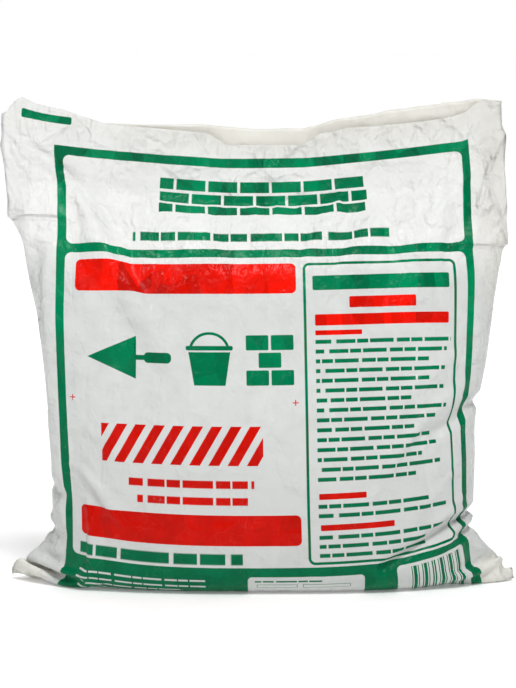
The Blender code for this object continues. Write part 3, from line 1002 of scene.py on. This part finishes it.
def film_material(colours):
    """White film with its two inks, fine creases and a soft gloss."""
    material, bench, shader = surface("printed film")
    flat = bench.add("ShaderNodeUVMap", uv_map="flat film").outputs[0]
    place = bench.add("ShaderNodeMapping", {
        "Vector": flat,
        "Scale": (2000 * PANEL_WIDTH, 1000 * (FILM_LENGTH + FIN_WIDTH), 1.0),
        "Location": (-500 * PANEL_WIDTH, -1000 * FIN_WIDTH, 0.0),
    }).outputs[0]
    parts = bench.add("ShaderNodeSeparateXYZ", {0: place})
    round_tube, y = bench.read(parts, 0), bench.read(parts, 1)
    on_back = bench.ramp(round_tube, 149.99, 150.01, kind="LINEAR")
    x = round_tube - on_back * (1000 * PANEL_WIDTH)
    off_middle = abs(x)
    mottle = bench.read(bench.noise(place, 0.09, 4.0))

    # Film over the powder is greyer than the empty head: partly powder showing through, partly painted shade
    powder_shaded_white = bench.mix(bench.ramp(mottle, 0.35, 0.7), colours.film_powder_shaded, dimmed(colours.film_powder_shaded, 0.95))
    white = bench.mix(bench.ramp(y + mottle * 30.0, 262.0, 226.0), colours.film, powder_shaded_white)
    # Painted shade: the film is painted darker towards the floor
    white = bench.mix(bench.ramp(y, 150.0, 60.0), white, dimmed(colours.film_powder_shaded, 0.90))
    # Slack film is tinted warmer and darker where it lies doubled, at the mouth and in the ears, partly doubled film
    # and partly painted shade; at one side of the head the tint is painted shade only
    mouth_doubled_shade = bench.ramp(y + mottle * 16.0, 303.0, 324.0, 0.0, 0.6) * bench.ramp(x, -110.0, 0.0, 0.15, 1.0)
    side_painted_shade = bench.ramp(x, 126.0, 142.0, 0.0, 0.6) * bench.ramp(y, 185.0, 225.0)
    white = bench.mix(bench.union(mouth_doubled_shade, side_painted_shade), white, colours.film_doubled_shaded)
    ear_painted_shade = bench.ramp(off_middle, 124.0, 134.0) * bench.ramp(y, 42.0, 26.0)
    white = bench.mix(ear_painted_shade, white, colours.film_ear_shaded)

    # Creases are liveliest in the head and at the sides
    lively = bench.union(bench.ramp(y, 190.0, 250.0, 0.5, 1.1), bench.ramp(off_middle, 95.0, 140.0, 0.0, 1.1))
    lively = lively + bench.ramp(y, 285.0, 305.0, 0.0, 0.3)
    sharp = 0.0
    for start, end, half_width, height in SHARP_CREASES:
        crease = bench.group("straight crease", x, y, *start, end[0] - start[0], end[1] - start[1], half_width)
        sharp = bench.math("MULTIPLY_ADD", crease, SHARP_CREASE_SHARE * height, sharp)
    rubbed_and_glint, facet_light_share, creases = crease_nodes(bench, place, lively, sharp)

    # Both inks go darker lower down, partly over the powder and partly as painted shade, change in painted shade from
    # facet to facet, and go lighter where creases have rubbed them, partly as a painted highlight
    powder_shade_low = bench.ramp(y + mottle * 40.0, 245.0, 130.0)
    # Painted shade and highlight from facet to facet, strongest in the head; the mottle is random tone
    ink_facet_light = bench.math("MULTIPLY_ADD", facet_light_share - 0.5, bench.ramp(y, 130.0, 220.0, 0.22, 0.72), 0.94)
    mottle_and_facet_light = bench.ramp(mottle, 0.3, 0.7, 1.0, 0.86) * ink_facet_light
    # Ink thinned along crease lines: partly rubbed ink, partly a painted highlight
    worn_and_glint = 1.0 - rubbed_and_glint * 0.07
    # Painted shade: the white film a little darker on some facets
    colour = bench.mix(1.0, white, bench.ramp(facet_light_share, 0.0, 1.0, 0.965, 1.0), "MULTIPLY")
    for inked, ink in ((green_print, colours.green_ink), (red_print, colours.red_ink)):
        ink = bench.mix(1.0, bench.mix(powder_shade_low, ink, dimmed(ink, colours.ink_powder_shaded)), mottle_and_facet_light, "MULTIPLY")
        colour = bench.mix(inked(bench, x, y) * worn_and_glint, colour, ink)
    bench.fill(shader, {
        "Base Color": colour,
        "Roughness": bench.ramp(mottle, 0.3, 0.7, 0.22, 0.34),
        "Specular IOR Level": 0.08,
        "Normal": creases,
    })
    return material


def crease_nodes(bench, place, lively, sharp):
    """Fine creases of handled film: where they rub the ink, with a painted highlight, each facet's painted shade, and
    their normal.
    """
    warp = bench.noise(place, 0.05, 3.0)
    bent, slightly_bent = (
        bench.add("ShaderNodeVectorMath", {0: warp.outputs[1], 1: (by, by, 0.0), 2: place},
                  operation="MULTIPLY_ADD").outputs[0]
        for by in (26.0, 7.0)
    )
    broad, middling, fine = (
        bench.read(bench.cells(bent, scale), "Distance") * weight
        for scale, weight in ((0.045, 1.5), (0.11, 0.6), (0.30, 0.16))
    )
    crinkled = lively * bench.ramp(bench.read(warp), 0.36, 0.60, 0.25, 1.0)
    height = (middling + fine) * crinkled + broad * lively + sharp
    facet_light_cells = []
    for turn, across, along, weight in FACETS:
        laid = bench.add("ShaderNodeMapping", {
            "Rotation": (0.0, 0.0, turn), "Scale": (across, along, 1.0), "Vector": slightly_bent,
        }).outputs[0]
        # Each facet's cell colour becomes its painted shade
        facet_light_parts = bench.add("ShaderNodeSeparateXYZ", {0: bench.cells(laid, 1.0).outputs["Color"]})
        facet_light_cells.append(bench.read(facet_light_parts))
        edge = bench.read(bench.cells(laid, 1.0, "DISTANCE_TO_EDGE"), "Distance")
        height = height + bench.ramp(edge, 0.0, 0.085, 0.0, weight, "LINEAR") * crinkled
    # Lines where ink is rubbed lighter, partly a painted highlight along the creases
    line = bench.read(bench.cells(bent, 0.13, "DISTANCE_TO_EDGE"), "Distance")
    rubbed_and_glint = bench.ramp(line, 0.020, 0.0) * bench.ramp(bench.read(warp), 0.48, 0.62)
    return rubbed_and_glint, facet_light_cells[1] * 0.65 + facet_light_cells[2] * 0.35, bench.bump(height, 0.8, 0.0016)


def inside_material(colours):
    """The film's plain inner side, its warm tint painted light passing through the film."""
    material, bench, shader = surface("film inside")
    place = bench.object_place()
    dust = bench.read(bench.noise(place, 60.0, 5.0, "3D"))
    crumples = bench.read(bench.cells(place, 110.0, dimensions="3D"), "Distance")
    dusty = tuple(0.55 * film + 0.45 * grey for film, grey in zip(colours.film_inside_light_tint, colours.cement))
    bench.fill(shader, {
        "Base Color": bench.mix(bench.ramp(dust, 0.55, 0.75, 0.0, 0.5), colours.film_inside_light_tint, dusty),
        "Roughness": bench.ramp(dust, 0.4, 0.7, 0.42, 0.6),
        "Normal": bench.bump(crumples, 0.7, 0.0012),
    })
    return material


def cement_material(colours):
    """Dry grey powder, settled in soft clods."""
    material, bench, shader = surface("cement powder")
    place = bench.object_place()
    clods = bench.read(bench.noise(place, 90.0, 8.0, "3D"))
    grains = bench.read(bench.noise(place, 1400.0, dimensions="3D"))
    bench.fill(shader, {
        "Base Color": bench.mix(bench.ramp(clods, 0.35, 0.7), colours.cement, dimmed(colours.cement, 1.25)),
        "Roughness": bench.ramp(grains, 0.3, 0.7, 0.85, 1.0),
        "Normal": bench.bump(clods + grains * 0.3, 0.6, 0.0008),
    })
    return material


class BAG_OT_film(bpy.types.Operator):
    """Settle the printed film over the powder and finish it"""

    bl_idname = "cement_bag.film"
    bl_label = "Film bag"

    def execute(self, context):
        sizes, colours = context.scene.bag_sizes, context.scene.bag_colours
        net, grid = settled_film(sizes)
        press_creases(net, grid)
        part_fin_layers(net, grid)
        piece = mesh_piece("film_tube", grid.reshape(-1, 3).tolist(), film_quads(net).tolist(), film_material(colours))
        film_map(piece.data, net)
        piece.data.materials.append(inside_material(colours))
        wall = piece.modifiers.new("film wall", "SOLIDIFY")
        wall.thickness = sizes.wall
        wall.offset = -1.0
        wall.material_offset = 1
        apply_modifiers(piece)
        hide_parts("film_bag")
        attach(piece, "root")
        return {"FINISHED"}


class BAG_OT_weld(bpy.types.Operator):
    """Press the heat weld's ribs into the fin"""

    bl_idname = "cement_bag.weld"
    bl_label = "Bottom weld"

    def execute(self, context):
        sizes, colours = context.scene.bag_sizes, context.scene.bag_colours
        film = bpy.data.objects["film_tube"]
        around, up = finest_net(sizes)
        places = np.array([vertex.co for vertex in film.data.vertices[:around * (up + 1)]])
        fin_rows = round(FIN_WIDTH * up / (FILM_LENGTH + FIN_WIDTH))
        ribs = weld_line("weld_ribs", places.reshape(around, up + 1, 3), fin_rows)
        tree = rib_tree(weld_material(colours))
        pressing = ribs.modifiers.new("weld ribs", "NODES")
        pressing.node_group = tree
        values = {"Pitch": sizes.rib_pitch, **RIB_SIZES}
        for socket in tree.interface.items_tree:
            if socket.in_out == "INPUT" and socket.name in values:
                pressing[socket.identifier] = values[socket.name]
        apply_modifiers(ribs)
        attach(ribs, "root")
        return {"FINISHED"}


def weld_line(name, places, fin_rows):
    """The fin's middle line on the film's front, with its direction and the film's outward one."""
    front = places[:len(places) // 2 + 1]
    line = front[:, fin_rows // 2]
    along = np.gradient(line, axis=0)
    out = np.cross(along, front[:, fin_rows] - front[:, 0])
    line[:, 2] = np.maximum(line[:, 2], RIB_SIZES["Rib height"])
    data = bpy.data.meshes.new(name)
    data.from_pydata(line[1:-1].tolist(), [(i, i + 1) for i in range(len(line) - 3)], [])
    for label, vectors in (("along", along), ("out", out)):
        data.attributes.new(label, "FLOAT_VECTOR", "POINT").data.foreach_set("vector", vectors[1:-1].ravel())
    return placed(name, data)


def rib_tree(material):
    """Geometry nodes: rounded ribs laid side by side along the weld's line."""
    tree = bpy.data.node_groups.new("weld ribs", "GeometryNodeTree")
    size_names = ("Rib width", "Rib length", "Rib height")
    tree.interface.new_socket("Weld line", in_out="INPUT", socket_type="NodeSocketGeometry")
    for name in ("Pitch", *size_names, "Unevenness"):
        tree.interface.new_socket(name, in_out="INPUT", socket_type="NodeSocketFloat")
    tree.interface.new_socket("Seed", in_out="INPUT", socket_type="NodeSocketInt")
    tree.interface.new_socket("Ribs", in_out="OUTPUT", socket_type="NodeSocketGeometry")
    bench = NodeBench(tree)
    given = bench.add("NodeGroupInput").outputs
    line = bench.add("GeometryNodeMeshToCurve", {"Mesh": given["Weld line"]})
    even = bench.add("GeometryNodeResampleCurve", {0: line.outputs[0], "Length": given["Pitch"]}, mode="LENGTH")
    rib = bench.add("GeometryNodeMeshUVSphere", {"Segments": 8, "Rings": 5, "Radius": 0.5})
    size = bench.add("ShaderNodeCombineXYZ", {axis: given[name] for axis, name in enumerate(size_names)})
    chance = bench.add("FunctionNodeRandomValue", {"Seed": given["Seed"]}, data_type="FLOAT")
    low, high = (i for i, socket in enumerate(chance.inputs) if socket.enabled and socket.name in ("Min", "Max"))
    bench.fill(chance, {low: 1.0 - Term(bench, given["Unevenness"]), high: 1.0})
    drawn = next(socket for socket in chance.outputs if socket.enabled)
    uneven = bench.add("ShaderNodeVectorMath", {0: size.outputs[0], "Scale": drawn}, operation="SCALE")
    facing = []
    for label in ("out", "along"):
        stored = bench.add("GeometryNodeInputNamedAttribute", {"Name": label}, data_type="FLOAT_VECTOR")
        facing.append(next(socket for socket in stored.outputs if socket.enabled and socket.name == "Attribute"))
    turn = bench.add("FunctionNodeAxesToRotation", dict(enumerate(facing)), primary_axis="Z", secondary_axis="X")
    laid = bench.add("GeometryNodeInstanceOnPoints", {
        "Points": even.outputs[0],
        "Instance": rib.outputs["Mesh"],
        "Rotation": turn.outputs[0],
        "Scale": uneven.outputs[0],
    })
    real = bench.add("GeometryNodeRealizeInstances", {0: laid.outputs[0]})
    finish = bench.add("GeometryNodeSetMaterial", {"Geometry": real.outputs[0], "Material": material})
    bench.add("NodeGroupOutput", {0: finish.outputs[0]})
    return tree


def weld_material(colours):
    """The film where heat has pressed it: a little clearer and glossier."""
    material, bench, shader = surface("pressed film")
    cloud = bench.read(bench.noise(bench.object_place(), 140.0, 4.0, "3D"))
    bench.fill(shader, {
        # Base colour is the ears' tint, which carries painted shade, clouded at random
        "Base Color": bench.mix(bench.ramp(cloud, 0.35, 0.65), colours.film_ear_shaded, dimmed(colours.film_ear_shaded, 0.86)),
        "Roughness": bench.ramp(cloud, 0.3, 0.7, 0.18, 0.32),
    })
    return material


class BAG_OT_powder(bpy.types.Operator):
    """Shape the powder to the inside of the film"""

    bl_idname = "cement_bag.powder"
    bl_label = "Cement powder"

    def execute(self, context):
        film = bpy.data.objects["film_tube"]
        places = np.array([vertex.co for vertex in film.data.vertices])
        piece = mesh_piece("cement_powder", *powder_mesh(places), cement_material(context.scene.bag_colours))
        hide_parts("cement_fill")
        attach(piece, "root")
        return {"FINISHED"}


def powder_mesh(film_places):
    """Rings of points just inside the film, and a low mound on top of them."""
    directions, levels, clearance, squash = 96, 56, 0.0012, 2.2
    low, high = 0.0012, POWDER_TOP - 0.012
    x = film_places[:, 0] - BODY_CENTRE_X
    y = film_places[:, 1] - BODY_CENTRE_Y
    angle = np.arctan2(y * squash, x)
    reach = np.hypot(x, y * squash)
    sector = np.floor((angle + math.pi) / (2 * math.pi) * directions).astype(int) % directions
    level = np.floor((film_places[:, 2] - low) / (high - low) * levels).astype(int)
    near = np.full((levels + 1, directions), 1.0)
    used = (level >= 0) & (level <= levels) & (film_places[:, 2] > low)
    np.minimum.at(near, (level[used], sector[used]), reach[used])
    near[0] = near[1:4].min(axis=0)
    for _ in range(2):
        near = np.minimum(near, np.minimum(np.roll(near, 1, 1), np.roll(near, -1, 1)))
        near[1:-1] = np.minimum(near[1:-1], np.minimum(near[:-2], near[2:]))
    near = np.minimum(near - clearance * squash, 0.124)

    rings = []
    for number in range(levels + 1):
        z = low + (high - low) * number / levels
        rings.append((np.maximum(near[number] - foot_drawn_in(z), 0.01), z))
    top_radius = rings[-1][0]
    for rise in (0.25, 0.5, 0.75, 0.92):
        rings.append((top_radius * (1 - rise) * 0.98, high + 0.008 * math.sin(rise * math.pi / 2)))
    turns = (np.arange(directions) + 0.5) / directions * 2 * math.pi - math.pi
    points = [
        (BODY_CENTRE_X + r * math.cos(turn), BODY_CENTRE_Y + r * math.sin(turn) / squash, z)
        for radius, z in rings for turn, r in zip(turns, radius)
    ]
    last = (len(rings) - 1) * directions
    faces = [
        (first + i, first + j, first + directions + j, first + directions + i)
        for first in range(0, last, directions) for i, j in zip(range(directions), (*range(1, directions), 0))
    ]
    return points, [*faces, tuple(range(directions))[::-1], tuple(range(last, last + directions))]


class BAG_OT_studio(bpy.types.Operator):
    """Set the pale floor, the soft lights and the camera"""

    bl_idname = "cement_bag.studio"
    bl_label = "Studio"

    def execute(self, context):
        settings = context.scene.studio_settings
        bpy.ops.mesh.primitive_plane_add(size=60.0, location=(0, 0, -0.0003))
        floor = context.object
        floor.name = "studio_floor"
        floor.data.materials.append(floor_material())
        add_camera(context.scene, settings)
        add_lights(context.scene, settings)
        return {"FINISHED"}


def floor_material():
    material, bench, shader = surface("pale floor")
    grain = bench.read(bench.noise(bench.object_place(), 40.0, dimensions="3D"))
    bench.fill(shader, {
        "Base Color": bench.mix(bench.ramp(grain, 0.3, 0.7), (0.93, 0.93, 0.93), (0.91, 0.91, 0.91)),
        "Roughness": 0.9,
        "Specular IOR Level": 0.0,
        "Emission Color": WHITE,
        "Emission Strength": 0.16,
    })
    return material


def add_camera(scene, settings):
    data = bpy.data.cameras.new("photo_camera")
    data.sensor_fit = "VERTICAL"
    data.sensor_height = 24.0
    data.lens = data.sensor_height * settings.camera_distance / (PHOTO_HEIGHT * METRES_A_PIXEL)
    camera = placed("photo_camera", data)
    tilt = settings.camera_elevation
    camera.location = CAMERA_AIM + settings.camera_distance * Vector((0.0, -math.cos(tilt), math.sin(tilt)))
    camera.rotation_euler = (math.pi / 2 - tilt, 0.0, 0.0)
    scene.camera = camera


def add_lights(scene, settings):
    """A broad key high in front, a smaller box beside it for gloss, a weak one behind, and a white surround."""
    for name, kind, energy, breadth, place in (
        ("key_light", "SUN", settings.key_strength, ("angle", math.radians(18)), (0.25, -1.00, 1.70)),
        ("soft_box", "AREA", settings.box_power, ("size", 0.45), (-0.75, -1.45, 1.0)),
        ("rear_box", "AREA", settings.rear_power, ("size", 1.2), (0.3, 2.2, 1.3)),
    ):
        data = bpy.data.lights.new(name, kind)
        data.energy = energy
        setattr(data, *breadth)
        light = placed(name, data)
        light.location = place
        light.rotation_euler = (LIGHT_AIM - Vector(place)).to_track_quat("-Z", "Y").to_euler()
    scene.world = white_surround(settings.surround)
    scene.view_settings.view_transform = "Standard"


def white_surround(strength):
    """Light that comes mostly from above, behind a plain white backdrop."""
    world = bpy.data.worlds.new("white surround")
    world.use_nodes = True
    bench = NodeBench(world.node_tree)
    parts = bench.add("ShaderNodeSeparateXYZ", {0: bench.add("ShaderNodeTexCoord").outputs["Generated"]})
    across, back, up = (bench.read(parts, axis) for axis in range(3))
    overhead = bench.ramp(up, -0.1, 0.95, 0.25, 0.85)
    behind_camera = bench.ramp(back, 0.1, -0.8, 1.0, 0.36)
    beside = bench.ramp(abs(across), 0.2, 0.9, 1.0, 0.22)
    light = overhead * behind_camera * beside * strength
    seen = bench.read(bench.add("ShaderNodeLightPath"), "Is Camera Ray")
    bench.fill(world.node_tree.nodes["Background"], {"Color": WHITE, "Strength": bench.union(light, seen)})
    return world


class BAG_PT_panel(bpy.types.Panel):
    """Lists the bag's sizes, colours and steps"""

    bl_idname = "BAG_PT_panel"
    bl_label = "Cement Bag"
    bl_space_type = "VIEW_3D"
    bl_region_type = "UI"
    bl_category = "Cement Bag"

    def draw(self, context):
        layout = self.layout
        scene = context.scene
        for group in (scene.bag_sizes, scene.bag_colours, scene.studio_settings):
            box = layout.box()
            for name in group.bl_rna.properties.keys():
                if name not in {"rna_type", "name"}:
                    box.prop(group, name)
        for operator in OPERATORS:
            layout.operator(operator.bl_idname)


OPERATORS = (BAG_OT_film, BAG_OT_weld, BAG_OT_powder, BAG_OT_studio)
CLASSES = (BagSizes, BagColours, StudioSettings, *OPERATORS, BAG_PT_panel)


def register():
    for cls in CLASSES:
        bpy.utils.register_class(cls)
    bpy.types.Scene.bag_sizes = PointerProperty(type=BagSizes)
    bpy.types.Scene.bag_colours = PointerProperty(type=BagColours)
    bpy.types.Scene.studio_settings = PointerProperty(type=StudioSettings)


def unregister():
    del bpy.types.Scene.studio_settings
    del bpy.types.Scene.bag_colours
    del bpy.types.Scene.bag_sizes
    for cls in reversed(CLASSES):
        bpy.utils.unregister_class(cls)


def main():
    register()
    bpy.ops.cement_bag.film()
    bpy.ops.cement_bag.weld()
    bpy.ops.cement_bag.powder()
    bpy.ops.cement_bag.studio()


if __name__ == "__main__":
    main()
